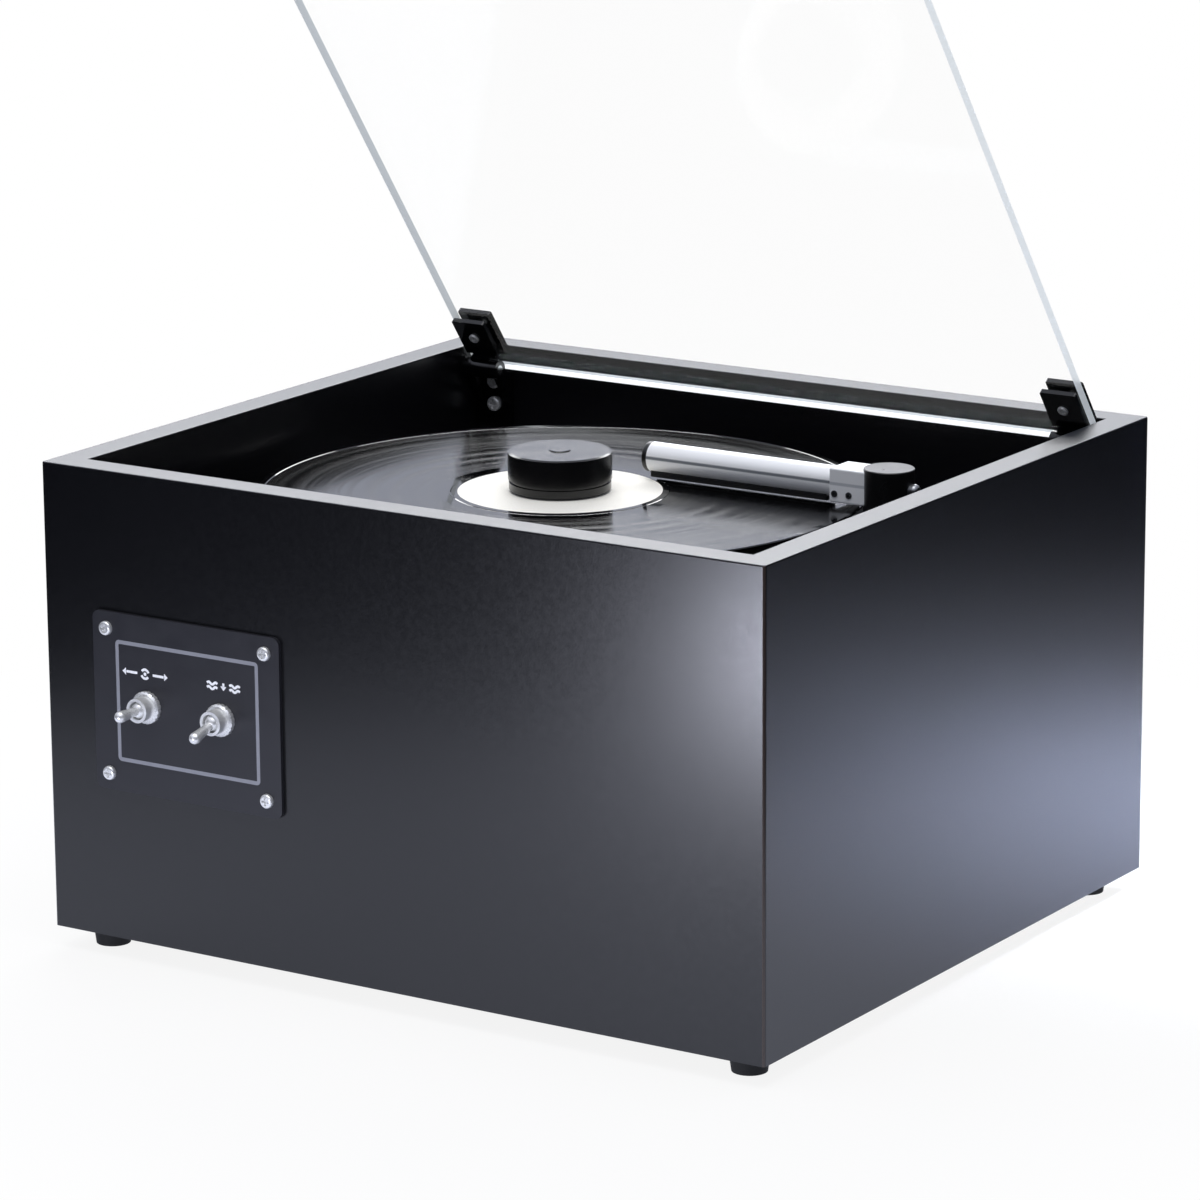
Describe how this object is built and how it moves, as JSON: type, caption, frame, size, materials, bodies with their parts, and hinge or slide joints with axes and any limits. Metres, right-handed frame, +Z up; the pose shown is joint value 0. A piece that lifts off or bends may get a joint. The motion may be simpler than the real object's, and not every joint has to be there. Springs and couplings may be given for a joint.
{
  "type": "record cleaning machine",
  "caption": "Black box-shaped record cleaning machine with a hinged clear lid, turning platter, screw-down clamp, vacuum arm and toggle switches.",
  "frame": {"origin": "on the floor, under the middle of the whole machine with its lid open at rest, levers and drain cap included", "axes": "+X to the machine's right, +Y to its back where the lid's hinges are, +Z up"},
  "size_m": [0.408, 0.4108, 0.4989],
  "materials": {
    "black_laminate": "black satin laminate over fibreboard, fine grain",
    "raw_board": "plain fibreboard and softwood, unfinished",
    "black_deck": "black satin sheet",
    "black_rubber": "soft black rubber",
    "zinc_steel": "zinc plated steel",
    "bright_nickel": "bright nickel plate",
    "clear_acrylic": "clear polished acrylic with sawn edges",
    "black_hinge": "black satin enamel",
    "black_plate": "black satin enamel on sheet metal",
    "switch_metal": "bright bushing on a moulded switch body",
    "black_platter": "black moulded platter",
    "vinyl": "pressed black vinyl",
    "white_paper": "plain white paper",
    "cast_aluminium": "turned and cast aluminium",
    "bronze": "plain bronze and brass",
    "gear_case": "dark painted casting",
    "black_acetal": "turned black plastic, satin with bright edges",
    "polished_steel": "polished stainless tube",
    "black_velvet": "short black nap",
    "black_moulding": "black moulded plastic",
    "tank_plastic": "milky polythene"
  },
  "bodies": {
    "cabinet": {"front_panel": "black_laminate", "back_panel": "black_laminate", "left_side": "black_laminate", "right_side": "black_laminate", "base_panel": "raw_board", "corner_blocks": "raw_board", "rubber_feet": "black_rubber", "foot_screws": "zinc_steel", "deck_plate": "black_deck", "deck_cleats": "raw_board", "deck_screws": "zinc_steel", "lid_rests": "black_deck", "hinge_base_left": "black_hinge", "hinge_base_right": "black_hinge", "hinge_pins": "zinc_steel", "hinge_screws": "bright_nickel", "control_plate": "black_plate", "plate_screws": "bright_nickel", "switch_left": "switch_metal", "switch_right": "switch_metal", "switch_nuts": "bright_nickel", "bearing_housing": "cast_aluminium", "shaft_bushes": "bronze", "gearbox": "gear_case", "drive_motor": "gear_case", "motor_standoffs": "zinc_steel", "post_bearing": "black_moulding", "waste_tank": "tank_plastic", "suction_hose": "black_rubber", "vacuum_motor": "cast_aluminium", "drain_spout": "black_moulding", "vent_grille": "black_moulding", "power_inlet": "black_moulding", "back_screws": "bright_nickel"},
    "lid": {"lid_sheet": "clear_acrylic", "hinge_clamp_left": "black_hinge", "hinge_clamp_right": "black_hinge", "hinge_bars": "black_hinge", "jaw_screws": "bright_nickel"},
    "platter": {"platter": "black_platter", "platter_mat": "black_rubber", "record_disc": "vinyl", "record_label": "white_paper", "spindle": "zinc_steel", "drive_hub": "cast_aluminium", "drive_shaft": "zinc_steel"},
    "clamp_carrier": {"clamp_insert": "bronze"},
    "clamp": {"clamp_body": "black_acetal", "clamp_pad": "black_rubber"},
    "arm_carriage": {"lift_collar": "bronze", "lift_spring": "zinc_steel"},
    "arm": {"arm_post": "black_acetal", "arm_block": "cast_aluminium", "arm_screws": "zinc_steel", "arm_tube": "polished_steel", "arm_end_plug": "black_acetal", "velvet_lips": "black_velvet"},
    "lever_left": {"toggle_left": "bright_nickel"},
    "lever_right": {"toggle_right": "bright_nickel"},
    "cap": {"drain_cap": "black_moulding"}
  },
  "joints": [
    {"name": "lid_hinge", "type": "hinge", "parent": "cabinet", "child": "lid", "pos_m": [0, 0.15995, 0.2335], "axis": [-1, 0, 0], "range_deg": [-53.6, 6.4]},
    {"name": "platter_spin", "type": "hinge", "parent": "cabinet", "child": "platter", "pos_m": [-0.0185, -0.00615, 0.2015], "axis": [0, 0, 1], "continuous": true},
    {"name": "clamp_rise", "type": "slide", "parent": "platter", "child": "clamp_carrier", "axis": [0, 0, 1], "range_m": [0, 0.015]},
    {"name": "clamp_turn", "type": "hinge", "parent": "clamp_carrier", "child": "clamp", "pos_m": [-0.0185, -0.00615, 0.2245], "axis": [0, 0, 1], "range_deg": [0, 3600]},
    {"name": "arm_lift", "type": "slide", "parent": "cabinet", "child": "arm_carriage", "axis": [0, 0, 1], "range_m": [-0.0008, 0], "stiffness_N_per_m": 1500, "springref_m": 0.003, "deforming": ["lift_spring"]},
    {"name": "arm_swing", "type": "hinge", "parent": "arm_carriage", "child": "arm", "pos_m": [0.13999, 0.04185, 0.229], "axis": [0, 0, 1], "range_deg": [-10, 90]},
    {"name": "left_switch", "type": "hinge", "parent": "cabinet", "child": "lever_left", "pos_m": [-0.1416, -0.18715, 0.131], "axis": [-1, 0, 0], "range_deg": [-16, 16]},
    {"name": "right_switch", "type": "hinge", "parent": "cabinet", "child": "lever_right", "pos_m": [-0.0976, -0.18715, 0.131], "axis": [-1, 0, 0], "range_deg": [0, 32]},
    {"name": "cap_pull", "type": "slide", "parent": "cabinet", "child": "cap", "axis": [0, 1, 0], "range_m": [0, 0.025]}
  ],
  "couplings": [
    {"joint": "clamp_rise", "follows": "clamp_turn", "m_per_rad": 0.00023873}
  ]
}
